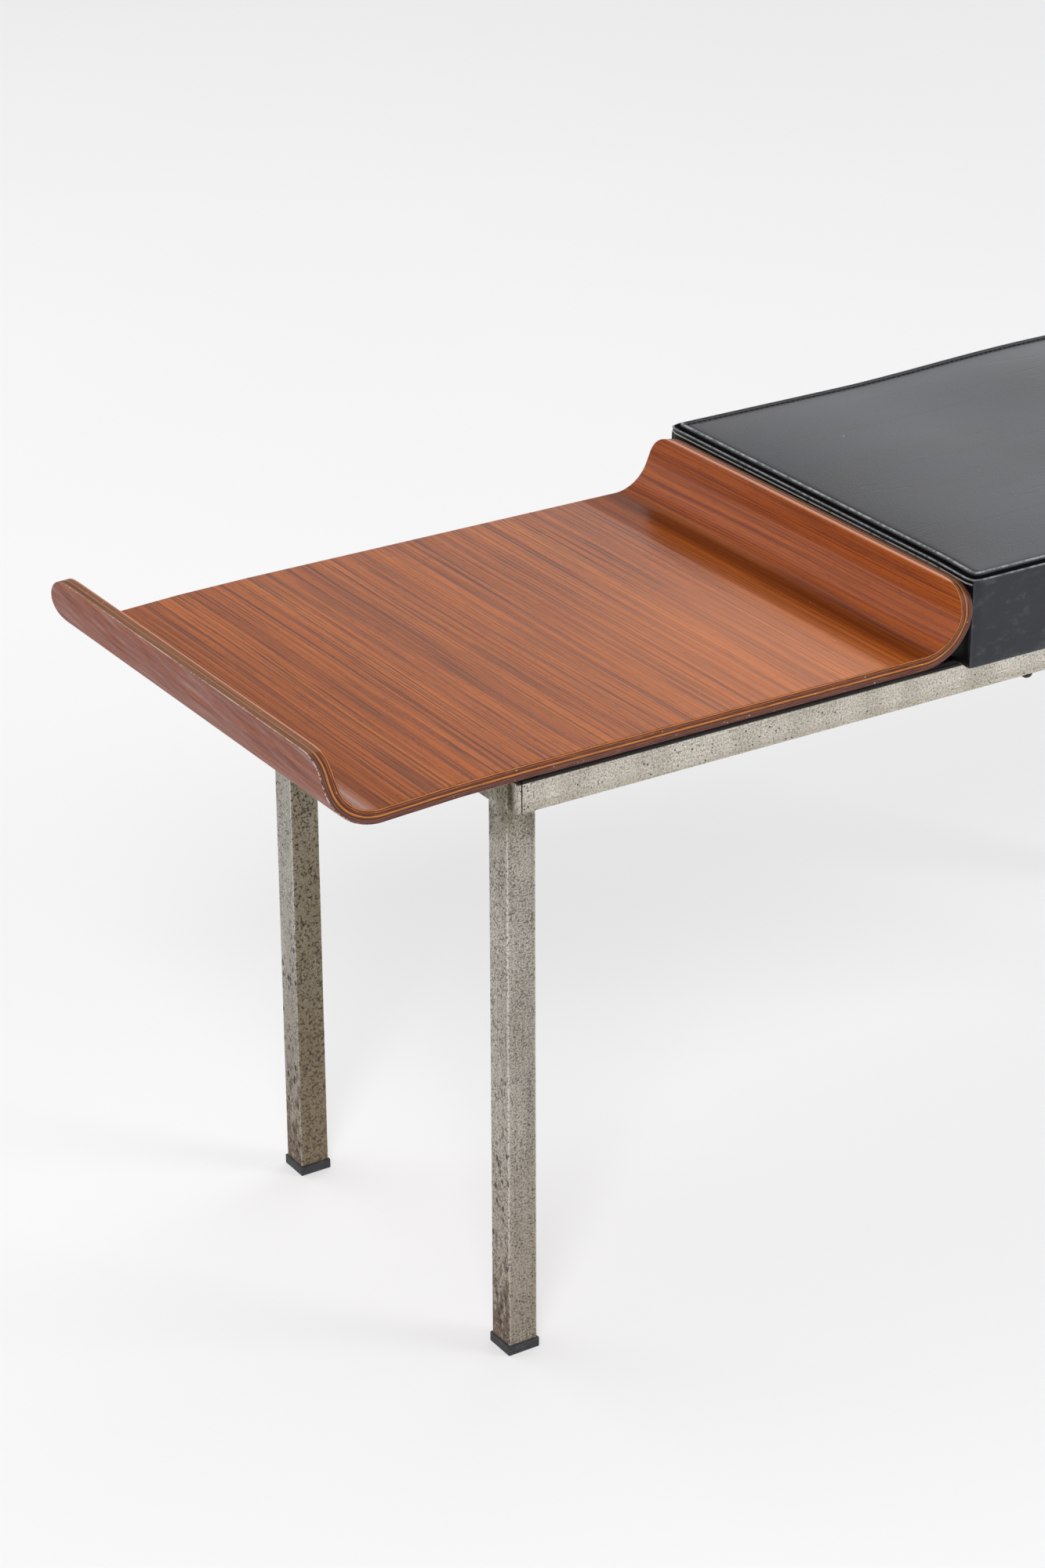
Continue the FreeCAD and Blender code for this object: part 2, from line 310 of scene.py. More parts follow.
def veneer_zones(g, bend):
    """Painted sheen on the floor's front right, painted shade at the bends, a deeper orange on the inner
    lip; returns where the lacquer shines least.
    """
    # Painted shade where the lip is reflected at the foot of the inner bend, and deeper in that bend
    foot = g.band(g.run, (bend - 0.031, bend + 0.014), (bend - 0.025, bend))
    deep = g.band(g.run, (bend - 0.014, bend + 0.016), (bend - 0.004, bend + 0.006))
    # Painted sheen on the floor's front right; painted shade on the floor beside the outer bend
    floor = g.band(g.run, (0.2, bend), (bend - 0.05, bend - 0.03))
    painted_outer_bend_shade = g.times(g.fade(g.run, 0.095, 0.058), g.fade(g.layer, 0.5, 0.6))
    g.cover(rgb(214, 124, 64), floor, g.fade(g.along, 0.09, -0.07), 0.3)
    g.cover(rgb(84, 38, 24), painted_outer_bend_shade, 0.4)
    g.cover(rgb(118, 50, 2), foot, 0.5)
    g.cover(rgb(70, 28, 8), deep, 0.45)
    # A deeper orange on the inner lip
    g.cover(rgb(152, 58, 2), g.fade(g.run, bend, bend + 0.02), 0.3)
    return g.most(foot, g.times(painted_outer_bend_shade, 0.6))


def worn_underside(g, under, worn):
    """Greyed, blotchy veneer below."""
    slant = g.plus(g.run, g.times(g.along, 0.12))
    blotch = g.noise_on(g.join(slant, g.along), (170, 16, 0), 5, 0.7)
    g.cover(rgb(130, 94, 91), under, g.blend(worn, 0.3, 0.8))
    g.cover(rgb(162, 137, 134), under, g.fade(blotch, 0.46, 0.7), 0.5)
    g.cover(rgb(92, 56, 48), under, g.fade(blotch, 0.47, 0.32), 0.6)


def ply_edge(g, rim, length):
    """Layers on the rim, stringy at both tips."""
    face = g.colour
    wave = g.plus(g.noise(70, 3), -0.5)
    g.colour = g.ramp(g.plus(g.layer, g.times(wave, 0.05)), [
        (0, rgb(150, 100, 84)), (0.06, rgb(58, 35, 34)), (0.13, rgb(112, 72, 64)),
        (0.2, rgb(76, 46, 45)), (0.27, rgb(118, 78, 64)), (0.35, rgb(60, 34, 32)),
        (0.42, rgb(120, 70, 40)), (0.49, rgb(196, 126, 66)), (0.54, rgb(168, 100, 52)),
        (0.59, rgb(54, 30, 26)), (0.67, rgb(112, 64, 46)), (0.73, rgb(76, 42, 38)),
        (0.78, rgb(164, 98, 54)), (0.83, rgb(54, 28, 24)), (0.89, rgb(120, 68, 42)),
        (0.945, rgb(206, 132, 78)), (0.98, rgb(76, 40, 28)),
    ])
    fibres = g.noise_on(g.join(g.layer, g.across, g.along), (26, 90, 90), 4, 0.65)
    strings = g.noise_on(g.join(g.layer, g.along), (34, 12, 0), 3, 0.6)
    inner_tip = g.times(g.fade(g.run, length - 0.0011, length - 0.0004), 0.35)
    tip = g.most(g.fade(g.run, 0.0011, 0.0004), inner_tip)
    g.cover(rgb(62, 38, 32), g.fade(fibres, 0.5, 0.66), 0.6)
    g.cover(rgb(176, 124, 78), g.fade(fibres, 0.45, 0.34), 0.35)
    g.cover(rgb(150, 98, 64), tip, 0.6)
    g.cover(rgb(62, 38, 30), tip, g.fade(strings, 0.48, 0.56), 0.65)
    g.colour = g.mix(rim, face, g.colour)


def lacquer_wear(g, rim, worn, length):
    """Painted highlights along the lips' rims, a pale line on the outer tip that is partly worn and partly
    a painted highlight, chipped edges and specks.
    """
    # Painted highlights along the inner top edges of both lips
    inner_rim_highlight = g.times(g.fade(g.run, length - 0.0014, length - 0.0005), g.fade(g.layer, 0.74, 0.88))
    outer_rim_highlight = g.times(g.fade(g.run, 0.0014, 0.0005), g.fade(g.layer, 0.86, 0.95), 0.8)
    g.cover(rgb(222, 160, 132), g.most(inner_rim_highlight, outer_rim_highlight), 0.7)
    flaws = g.noise(380, 4, 0.6)
    outer = g.times(g.fade(g.run, 0.06, 0.03), g.fade(g.layer, 0.12, 0.03), g.fade(g.layer, 0, 0.004))
    corner = g.times(outer, g.fade(g.along, -0.1, -0.14))
    edge_line = g.times(g.fade(flaws, 0.5, 0.62), outer)
    corner_line = g.times(g.fade(flaws, 0.42, 0.52), corner)
    # Pale line on the outer tip: partly worn veneer, partly a painted highlight
    worn_and_highlit_tip = g.times(g.fade(g.run, 0.0011, 0.0004), g.fade(g.layer, 0.13, 0.08), g.fade(g.layer, 0, 0.02))
    worn_and_highlit_tip = g.times(worn_and_highlit_tip, g.blend(g.fade(worn, 0.4, 0.6), 0.2, 0.75))
    chips = g.most(g.times(g.fade(flaws, 0.69, 0.72), rim), edge_line, corner_line, worn_and_highlit_tip)
    specks = g.spots(g.points, 85, 0.035, 0.16)
    g.cover(rgb(214, 196, 182), g.most(g.times(chips, 0.75), g.times(specks, 0.6)))


def veneered_plywood(length, bend):
    """Lacquered veneer with layered edges, given the sheet's length and where its inner bend starts."""
    g = SheetGraph("veneered_plywood")
    under = g.fade(g.layer, 0.5, 0.4)
    rim = g.band(g.layer, (0, 1), (0.02, 0.98))
    worn = g.noise(24, 4, 0.6)
    relief = veneer_grain(g)
    matt = veneer_zones(g, bend)
    worn_underside(g, under, worn)
    ply_edge(g, rim, length)
    lacquer_wear(g, rim, worn, length)
    haze = g.noise(14, 3)
    rough = g.blend(rim, g.blend(haze, 0.07, 0.13), 0.45)
    rough = g.blend(g.times(under, 0.95), rough, 0.62)
    gloss = g.blend(matt, 0.14, 0.04)
    return g.finish(roughness=rough, normal=g.bump(relief, 0.00007), specular_ior_level=gloss)


class Plating(Graph):
    """Worn nickel plating: clouded, brushed, speckled and pitted."""

    def __init__(self, name, tone, pitted, speckled, brushing):
        super().__init__(name)
        self.tone = tone
        self.cloud = self.noise((45, 45, 14), 3)
        self.mottle = self.noise(900, 5, 0.75)
        self.flecks = self.noise(620, 4, 0.7)
        self.crowd = self.fade(self.noise(70), 0.3, 0.6)
        clouded = self.fade(self.cloud, 0.35, 0.65)
        brushed = self.fade(self.noise(brushing), 0.48, 0.7)
        self.colour = self.mix(clouded, self.shade(184, 179, 169), self.shade(204, 199, 190))
        self.cover(self.shade(152, 142, 127), brushed, 0.4)
        self.cover(self.shade(108, 96, 79), self.fade(self.mottle, 0.46, 0.6), speckled)
        self.cover(self.shade(240, 233, 220), self.fade(self.mottle, 0.46, 0.34), speckled * 0.6)
        small = self.fade(self.plus(self.flecks, self.times(self.crowd, 0.05)), 0.57, 0.63)
        middling = self.times(self.spots(self.points, 400, 0.34, 0.16), self.crowd)
        self.pits = self.most(self.times(small, pitted), middling)

    def shade(self, r, g, b):
        return tuple(c * self.tone for c in rgb(r, g, b)[:3]) + (1,)

    def close(self, dull):
        """Adds the pits; dull parts are rough and hardly metallic."""
        self.cover(rgb(40, 29, 22), self.pits, 0.9)
        rough = self.blend(dull, self.blend(self.cloud, 0.36, 0.46), 0.8)
        metal = self.blend(dull, 1, 0.15)
        relief = self.plus(self.times(self.pits, -1), self.times(self.mottle, 0.25))
        return self.finish(roughness=rough, metallic=metal, normal=self.bump(relief, 0.00025, 0.6))


def bar_steel(name, tone, pitted, speckled):
    """Plating of level bars, with painted shade along the top and dark seams behind the rail caps."""
    g = Plating(name, tone, pitted, speckled, brushing=(9, 700, 700))
    x, _, z = g.split(g.points)
    seam = g.band(g.off(x, 0), *CAP_SEAM_BAND)
    # Painted shade along the rails' top under the tray, and the dark seams behind the caps
    top_shade_and_seam = g.most(g.fade(z, *RAIL_TOP_SHADE), seam)
    g.cover(g.shade(150, 141, 124), g.fade(z, 0.387, 0.381), 0.3)
    g.cover(rgb(9, 8, 7), top_shade_and_seam, 0.97)
    return g.close(g.most(g.pits, top_shade_and_seam))


def leg_edge_highlights(g):
    """Painted highlights along the corners of the legs."""
    x, y, _ = g.split(g.points)
    off_x = g.off(g.off(x, 0), LEG_CENTRE[0] * MM)
    off_y = g.off(g.off(y, 0), LEG_CENTRE[1] * MM)
    edge = g.times(g.fade(off_x, 0.0088, 0.0097), g.fade(off_y, 0.0088, 0.0097))
    g.cover(g.shade(240, 233, 221), edge, g.blend(g.cloud, 0.2, 0.8))


def front_tarnish_and_shade(g, z):
    """Brown, patchy tarnish and painted shade on the front faces of the shaded legs."""
    front = g.fade(g.facing()[1], -0.5, -0.9)
    patchy = g.plus(g.flecks, g.times(g.fade(z, 0.3, 0), 0.05))
    g.cover(rgb(114, 101, 70), front, g.blend(g.mottle, 0.4, 0.9))
    g.cover(rgb(60, 45, 27), front, g.fade(patchy, 0.53, 0.62), 0.8)


def leg_steel(name, tone, pitted, speckled, rusty, tarnish_and_shade=False):
    """Plating of the legs: painted shade below the rails, rust towards the feet."""
    g = Plating(name, tone, pitted, speckled, brushing=(700, 700, 9))
    z = g.split(g.points)[2]
    leg_edge_highlights(g)
    # Tarnish and painted shade on the front faces of the back legs
    if tarnish_and_shade:
        front_tarnish_and_shade(g, z)
    # Painted shade at the tops of the legs, under the rails and the tray
    shade_below_rails = g.fade(g.noise(55, 3), 0.3, 0.62)
    g.cover(g.shade(108, 102, 78), g.fade(z, 0.345, 0.379), shade_below_rails, 0.8)
    g.cover(g.shade(150, 126, 100), g.fade(z, 0.2, 0.02), g.blend(g.cloud, 0.2, 0.5))
    sideways = g.fade(g.off(g.facing()[0], 0), 0.5, 0.9)
    lower = g.blend(g.fade(z, 0.26, 0.14), 0.12, 1)
    big = g.spots(g.scaled(g.points, (1, 1, 0.6)), 230, 0.4, 0.45)
    g.pits = g.most(g.pits, g.times(big, g.crowd, lower, g.blend(sideways, 0.2, 1)))
    near_floor = g.times(g.fade(z, 0.16, 0), g.blend(sideways, 0.35, 1))
    patches = g.noise((190, 190, 80), 5, 0.75)
    rust = g.fade(g.plus(patches, g.times(near_floor, rusty)), 0.68, 0.78)
    brown = g.ramp(g.noise(320, 3), [(0.3, rgb(56, 37, 26)), (0.7, rgb(112, 80, 54))])
    g.cover(brown, rust, 0.75)
    return g.close(g.most(g.times(rust, 0.8), g.pits))


class CoverGraph(Graph):
    """Material of the cover, which reads the rows of the seat's section."""

    def __init__(self, name):
        super().__init__(name)
        self.row = self.split(self.uv("rows"))[0]
        self.x, _, self.z = self.split(self.points)
        facing_x, _, self.up = self.facing()
        self.left = self.fade(facing_x, -0.7, -0.9)
        self.bead = self.strip(BEAD)

    def strip(self, rows):
        """1 on a few rows of the section."""
        first, last = rows
        return self.band(self.row, (first - 0.5, last + 0.5), (first + 0.5, last - 0.5))


def cover_cloth(g, tone_and_sheen, fine):
    """Black cloth with a painted bluish sheen on the top panel that gives way to painted shade at its left
    end, scuffed sides and creases.
    """
    g.colour = g.ramp(tone_and_sheen, [(0.35, rgb(12, 13, 17)), (0.65, rgb(31, 33, 40))])
    # Painted sheen on the top panel, with painted shade towards its left end
    panel = g.times(g.fade(g.up, 0.85, 1), g.fade(g.row, GROOVE[1], GROOVE[1] + 1.5))
    panel = g.times(panel, g.blend(g.fade(g.x, -0.075, 0.06), 0.1, 1))
    scuffs = g.noise((70, 110, 130), 5, 0.7)
    creases = g.noise((3, 150, 40))
    g.cover(rgb(50, 57, 69), panel, g.blend(g.fade(tone_and_sheen, 0.3, 0.7), 0.2, 0.75))
    g.cover(rgb(50, 52, 57), g.fade(fine, 0.5, 0.8), 0.15)
    g.cover(rgb(72, 76, 82), g.fade(scuffs, 0.5, 0.68), g.fade(g.up, 0.5, 0.2), 0.4)
    g.cover(rgb(12, 12, 14), g.fade(creases, 0.62, 0.7), 0.35)


def cover_edges(g):
    """Painted highlights on the seam's ridge and bead, painted shade in the hollows, dust beside the tray;
    returns the shade.
    """
    start, end = SEAT_LEFT_END
    highlight_breaks = g.fade(g.noise(240, 4, 0.65), 0.3, 0.7)
    # Painted highlights along the seam's ridge and the bead, broken up in patches
    bead_highlight = g.times(g.bead, g.blend(g.fade(g.x, start, end), 0.05, 0.7))
    g.cover(rgb(178, 180, 184), g.most(g.strip(CREST), bead_highlight), g.blend(highlight_breaks, 0.1, 0.75))
    dusty = g.times(g.left, g.band(g.z, *LIP_DUST_BAND))
    dusty = g.times(dusty, g.fade(g.noise(160, 4, 0.6), 0.25, 0.5))
    clean = g.math("SUBTRACT", 1, dusty)
    # Painted shade in the stitched groove, on the flat border and on the left end face and bead
    groove = g.band(g.row, (GROOVE[0] - 1, GROOVE[1] + 1), GROOVE)
    border = g.band(g.row, (BEAD[1] + 0.6, CREST[0] - 0.6), (BEAD[1] + 1.6, CREST[0] - 1.6))
    end_face = g.times(g.left, g.fade(g.row, BEAD[0] - 0.5, BEAD[0] - 1.5), clean)
    end_bead = g.times(g.bead, g.fade(g.x, end, start))
    dark = g.most(groove, end_bead, border, end_face)
    specks = g.spots(g.points, 60, 0.04, 0.14)
    g.cover(rgb(5, 5, 6), dark, 0.9)
    g.cover(rgb(198, 200, 192), g.most(g.times(dusty, 0.55), g.times(specks, 0.7)))
    return dark


def leatherette():
    """Black coated cloth of fine grain, dusty where it meets the tray's lip."""
    g = CoverGraph("leatherette")
    tone_and_sheen = g.noise((9, 14, 9), 4, 0.55)
    fine = g.noise(1500)
    grain = g.cells(g.points, 1100)["Distance"]
    cover_cloth(g, tone_and_sheen, fine)
    dark = cover_edges(g)
    folds = g.fade(g.off(g.noise((5, 42, 42)), 0.5), 0.02, 0)
    folds = g.times(folds, g.fade(g.noise(16), 0.5, 0.62), -0.8)
    normal = g.bump(g.plus(grain, g.times(fine, 0.5), folds), 0.00014, 0.55)
    # The painted shade also shines less
    gloss = g.blend(dark, 0.46, 0.08)
    return g.finish(roughness=g.blend(tone_and_sheen, 0.35, 0.46), normal=normal, ior=1.46, specular_ior_level=gloss)


def thread():
    """Black twisted thread, greyed on its crests."""
    g = Graph("black_thread")
    twist = g.noise(2600, 1)
    g.colour = g.ramp(twist, [(0.35, rgb(20, 20, 22)), (0.65, rgb(70, 70, 74))])
    return g.finish(roughness=0.6, normal=g.bump(twist, 0.0001, 0.5))


def rubber():
    """Dull black rubber with a little dust."""
    g = Graph("black_rubber")
    cloud = g.noise(160, 4, 0.6)
    g.colour = g.ramp(cloud, [(0.3, rgb(30, 30, 34)), (0.55, rgb(44, 45, 49)), (0.75, rgb(74, 74, 76))])
    g.cover(rgb(120, 116, 108), g.fade(g.noise(700, 3), 0.6, 0.75), 0.35)
    normal = g.bump(g.noise(1300), 0.0002, 0.4)
    return g.finish(roughness=g.blend(cloud, 0.5, 0.75), normal=normal)


def plain_wood(name, pale, deep):
    """Unfinished wood with its grain along Y."""
    g = Graph(name)
    grain = g.noise((260, 6, 260), 4, 0.6)
    rings = g.noise((60, 2, 60))
    g.colour = g.mix(g.fade(grain, 0.35, 0.7), pale, deep)
    g.cover(deep, g.fade(rings, 0.5, 0.7), 0.4)
    return g.finish(roughness=0.72, normal=g.bump(grain, 0.0003, 0.4))


def dust_cloth(name, deep, pale):
    """Dull woven cloth between two tones."""
    g = Graph(name)
    weave = g.plus(g.noise((1400, 90, 1), 1), g.noise((90, 1400, 1), 1))
    g.colour = g.ramp(weave, [(0.35, deep), (0.65, pale)])
    return g.finish(roughness=0.9, normal=g.bump(weave, 0.0003, 0.5))


def dark_screws():
    """Dark, slightly rusty metal of screws and staples."""
    g = Graph("dark_screws")
    cloud = g.noise(600, 4, 0.6)
    g.colour = g.ramp(cloud, [(0.3, rgb(34, 29, 26)), (0.6, rgb(58, 50, 44)), (0.75, rgb(96, 70, 50))])
    return g.finish(metallic=0.7, roughness=g.blend(cloud, 0.4, 0.7))


def metres(points):
    """Points in metres from points in millimetres."""
    return [tuple(c * MM for c in point) for point in points]


def add_object(name, data):
    """A new object in the scene."""
    new = bpy.data.objects.new(name, data)
    SCENE.collection.objects.link(new)
    return new


def add_piece(name, verts, faces, material, replaced=(), smooth=True):
    """A mesh in the shared frame, from millimetres, riding on the one body."""
    mesh = bpy.data.meshes.new(name)
    mesh.from_pydata(metres(verts), [], faces)
    mesh.validate()
    if smooth:
        mesh.shade_smooth()
    else:
        mesh.shade_flat()
    mesh.materials.append(material)
    piece = add_object(name, mesh)
    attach(piece, "root")
    if replaced:
        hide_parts(*replaced)
    return piece


def ease(piece, width, segments, angle=40):
    """Rounds a piece's edges sharper than an angle with a modifier."""
    bevel = piece.modifiers.new("eased edges", "BEVEL")
    bevel.width = width * MM
    bevel.segments = segments
    bevel.limit_method = "ANGLE"
    bevel.angle_limit = radians(angle)


def ring(start, count):
    """Point numbers of a closed row."""
    return [start + k % count for k in range(count + 1)]


def skin(rows):
    """Faces between rows of point numbers; corners on the same point count once."""
    faces = []
    for lower, upper in zip(rows, rows[1:]):
        for quad in zip(lower, lower[1:], upper[1:], upper):
            corners = tuple(dict.fromkeys(quad))
            if len(corners) > 2:
                faces.append(corners)
    return faces


def flipped(faces):
    """The same faces seen from their other side."""
    return [face[:1] + face[:0:-1] for face in faces]


def tube_faces(rings, count, start=0):
    """Faces over rings of equally many points, numbered from start, closed at both ends."""
    rows = [ring(start + r * count, count) for r in range(rings)]
    return skin(rows) + [tuple(rows[0][-2::-1]), tuple(rows[-1][:-1])]


def node_box(node):
    """Lowest and highest corner of a node, in millimetres."""
    low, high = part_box(node)
    return np.array(low) / MM, np.array(high) / MM


def nodes_named(start):
    """Nodes of the frame whose names start alike."""
    return [name for name in NODES if name.startswith(start)]


def rounded_rectangle(width, height, corner, steps=5):
    """Rectangle with rounded corners, anticlockwise about the origin."""
    reach_x, reach_y = width / 2 - corner, height / 2 - corner
    outline = []
    for turn, (side_x, side_y) in enumerate(((1, 1), (-1, 1), (-1, -1), (1, -1))):
        for k in range(steps + 1):
            angle = radians(90 * (turn + k / steps))
            x, y = corner * cos(angle), corner * sin(angle)
            outline.append((side_x * reach_x + x, side_y * reach_y + y))
    return outline


def add_bar(node, suffix, low, high, axis, material):
    """A bar with rounded long edges that fills a box and replaces a node."""
    across, up = (axis + 1) % 3, (axis + 2) % 3
    outline = rounded_rectangle(high[across] - low[across], high[up] - low[up], BAR_CORNER)
    middle = (low + high) / 2
    verts = []
    for end in (low[axis], high[axis]):
        for u, v in outline:
            point = [0, 0, 0]
            point[axis] = end
            point[across] = middle[across] + u
            point[up] = middle[up] + v
            verts.append(tuple(point))
    faces = tube_faces(2, len(outline))
    return add_piece(node + suffix, verts, faces, material, [node], smooth=False)


def widened(low, high, width):
    """The same box with another square width about its upright middle line."""
    middle = (low[:2] + high[:2]) / 2
    low[:2] = middle - width / 2
    high[:2] = middle + width / 2
    return low, high


def build_legs(side, material):
    """Legs of one side, crisper than the solids."""
    for node in ("leg_" + side + "_left", "leg_" + side + "_right"):
        low, high = widened(*node_box(node), LEG_WIDTH)
        add_bar(node, "_tube", low, high, UPRIGHT, material)


def build_feet(material):
    """Square rubber blocks that stand out all round the legs."""
    for node in nodes_named("foot_"):
        low, high = widened(*node_box(node), FOOT_WIDTH)
        high[2] = FOOT_HEIGHT
        block = add_bar(node, "_block", low, high, UPRIGHT, material)
        ease(block, width=0.4, segments=2)


def build_bars(names, axis, material):
    """Rails or crossbars, a little taller than the solids."""
    for node in names:
        low, high = node_box(node)
        low[2] -= BAR_DROP
        add_bar(node, "_bar", low, high, axis, material)


class SheetPath:
    """Section of the bent sheet: straight runs and bends followed along its underside."""

    def __init__(self):
        slope = 2 * atan2(FLOOR_DROOP, FLOOR_OVERHANG)
        outside = BEND_RADIUS + PLY
        outer, inner = radians(OUTER_LIP[0]), radians(INNER_LIP[0])
        # Length and 0 of a straight run, or radius and angle of a bend
        shapes = (
            (OUTER_LIP[1], 0), (outside, outer + slope), (FLOOR_OVERHANG / sin(slope), -slope),
            (FLOOR_INBOARD, 0), (outside, inner), (INNER_LIP[1], 0),
        )
        self.runs = []
        self.length = 0
        place, heading = np.zeros(2), -outer
        for size, angle in shapes:
            run = (size - copysign(PLY / 2, angle)) * abs(angle) if angle else size
            self.runs.append((self.length, run, size, angle, place, heading))
            place, heading = self.step(size, angle, place, heading, 1)
            self.length += run
        level_floor = self.runs[3]
        self.level = level_floor[0]
        self.shift = np.array([-LEG_OUTER, TRAY_BOTTOM]) - level_floor[4]

    @staticmethod
    def step(size, angle, place, heading, share):
        """Underside place and heading after a share of one run."""
        if not angle:
            return place + size * share * np.array([cos(heading), sin(heading)]), heading
        side = copysign(1, angle)
        centre = place + size * side * np.array([-sin(heading), cos(heading)])
        heading = heading + angle * share
        return centre + size * side * np.array([sin(heading), -cos(heading)]), heading

    def at(self, distance):
        """(underside point, unit vector through the sheet) at a distance along its middle."""
        reached = [run for run in self.runs if run[0] <= distance + 1e-9]
        start, run, size, angle, place, heading = reached[-1]
        place, heading = self.step(size, angle, place, heading, (distance - start) / run)
        return place + self.shift, np.array([-sin(heading), cos(heading)])

    def stations(self):
        """Distances along the sheet, close in corners and bends, wide on the floor."""
        corner = [LIP_CORNER * (1 - cos(radians(a))) for a in range(0, 91, 5)]
        marks = set(round(d, 4) for d in corner) | set(round(self.length - d, 4) for d in corner)
        for start, run, _, angle, _, _ in self.runs:
            parts = abs(degrees(angle)) / 3.5 if angle else run / 12
            steps = max(2, round(parts))
            marks |= set(round(start + run * i / steps, 4) for i in range(steps + 1))
        kept = []
        for mark in sorted(marks):
            if not kept or mark - kept[-1] > 0.15:
                kept.append(mark)
        kept[-1] = self.length
        return kept

    def half_width(self, distance):
        """Half of the sheet's depth, rounded off at both lips."""
        to_tip = min(distance, self.length - distance)
        back = max(1 - to_tip / LIP_CORNER, 0)
        return TRAY_DEPTH / 2 - LIP_CORNER + LIP_CORNER * (1 - back**CORNER_POWER) ** (1 / CORNER_POWER)


def sheet_faces(rows, columns):
    """Faces of a sheet: a grid above, one below and strips round the edges."""
    width = columns + 1
    above = [list(range(r * width, (r + 1) * width)) for r in range(rows)]
    below = [[rows * width + n for n in row] for row in above]
    front = [[row[0] for row in grid] for grid in (above, below)]
    back = [[row[-1] for row in grid] for grid in (above, below)]
    faces = flipped(skin(above)) + skin(below) + flipped(skin(front)) + skin(back)
    return faces + skin([above[0], below[0]]) + flipped(skin([above[-1], below[-1]]))


def build_tray(path, material):
    """The bent plywood sheet, with coordinates for its material."""
    stations = path.stations()
    columns = 28
    verts, where = [], []
    for face in (1, 0):
        for distance in stations:
            under, through = path.at(distance)
            x, z = under + through * PLY * face
            half = path.half_width(distance)
            for c in range(columns + 1):
                y = -half * cos(pi * c / columns)
                verts.append((x, y, z))
                where.append((distance, y, face))
    faces = sheet_faces(len(stations), columns)
    tray = add_piece("tray_sheet", verts, faces, material, ["tray"])
    mesh = tray.data
    sheet = mesh.uv_layers.new(name="sheet")
    ply = mesh.uv_layers.new(name="ply")
    for loop in mesh.loops:
        distance, y, face = where[loop.vertex_index]
        sheet.data[loop.index].uv = (distance * MM, y * MM)
        ply.data[loop.index].uv = (face, distance * MM)
    ease(tray, width=0.8, segments=2, angle=50)


class SeatRim:
    """Rounded rectangle round the seat, followed anticlockwise from its front left corner."""

    CORNER = 10
    CELLS = (96, 50)
    ARC = 20
    SEAM_HALF = 0.75

    def __init__(self, low, high):
        self.low = np.array(low[:2]) / MM
        self.high = np.array(high[:2]) / MM
        a, b = self.low + self.CORNER, self.high - self.CORNER
        nx, ny = self.CELLS
        self.xs = np.linspace(a[0], b[0], nx + 1)
        self.ys = np.linspace(a[1], b[1], ny + 1)
        sides = (
            [(i, 0) for i in range(nx + 1)],
            [(nx, j) for j in range(ny + 1)],
            [(i, ny) for i in range(nx, -1, -1)],
            [(0, j) for j in range(ny, -1, -1)],
        )
        self.points = []
        for turn, side in enumerate(sides):
            heading = radians(90 * turn - 90)
            self.points += [(cell, heading, 0) for cell in side]
            self.points += [(side[-1], heading + angle, seam) for angle, seam in self.corner()]

    def corner(self):
        """(angle, strength of the upright seam) through one corner."""
        for k in range(1, self.ARC):
            share = 2 * k / self.ARC - 1
            lean = 0.5 * share * (0.45 + 0.55 * abs(share))
            from_seam = lean * pi / 2 * self.CORNER
            yield (0.5 + lean) * pi / 2, exp(-((from_seam / self.SEAM_HALF) ** 2))

    def place(self, index, inset, square=0):
        """Point of the rim at an inset from the seat's edge; square draws the corner out."""
        (i, j), heading, _ = self.points[index]
        reach = self.CORNER - inset
        reach *= 1 + square * (1 / max(abs(cos(heading)), abs(sin(heading))) - 1)
        y = self.ys[j] + reach * sin(heading)
        return self.skew(self.xs[i] + reach * cos(heading), y), y

    def skew(self, x, y):
        """X with the left end out of square, drawn out over the front eighth of its width."""
        width = self.high[1] - self.low[1]
        back = max((y - self.low[1]) / width, 0)
        front = max(1 - 8 * back, 0)
        share = (self.high[0] - x) / (self.high[0] - self.low[0])
        return x + share * (SKEW_BACK * back + SKEW_FRONT * front)

    def bow(self, x):
        """Share of the rise from the seat's ends to its middle."""
        from_end = min(x - self.low[0] - BOW_START, self.high[0] - x)
        share = min(max(from_end / BOW_RUN, 0), 1)
        return share * share * (3 - 2 * share)

    def walk(self, inset, spacing):
        """Evenly spaced (x, y, heading of travel) round the rim at one inset."""
        loop = np.array([self.place(k, inset) for k in range(len(self.points))])
        strides = np.roll(loop, -1, axis=0) - loop
        lengths = np.linalg.norm(strides, axis=1)
        ends = np.cumsum(lengths)
        count = round(ends[-1] / spacing)
        for n in range(count):
            target = (n + 0.5) * ends[-1] / count
            k = np.searchsorted(ends, target)
            x, y = loop[k] + strides[k] * (1 - (ends[k] - target) / lengths[k])
            dx, dy = strides[k]
            yield x, y, atan2(dy, dx)

    def grid(self, level):
        """Points of a level grid that fills the rim."""
        return [(self.skew(x, y), y, level) for x in self.xs for y in self.ys]


def close_shell(rim, rows, top, bottom):
    """Faces of a closed shell: rows round the rim, then a grid above and one below."""
    nx, ny = SeatRim.CELLS
    around = len(rim.points)
    grid = [[i * (ny + 1) + j for j in range(ny + 1)] for i in range(nx + 1)]
    edge = [grid[i][j] for (i, j), _, _ in rim.points + rim.points[:1]]
    loops = [[bottom + n for n in edge]]
    loops += [ring(r * around, around) for r in range(rows)]
    loops.append([top + n for n in edge])
    above = [[top + n for n in column] for column in grid]
    below = [[bottom + n for n in column] for column in grid]
    return skin(loops) + flipped(skin(above)) + skin(below)


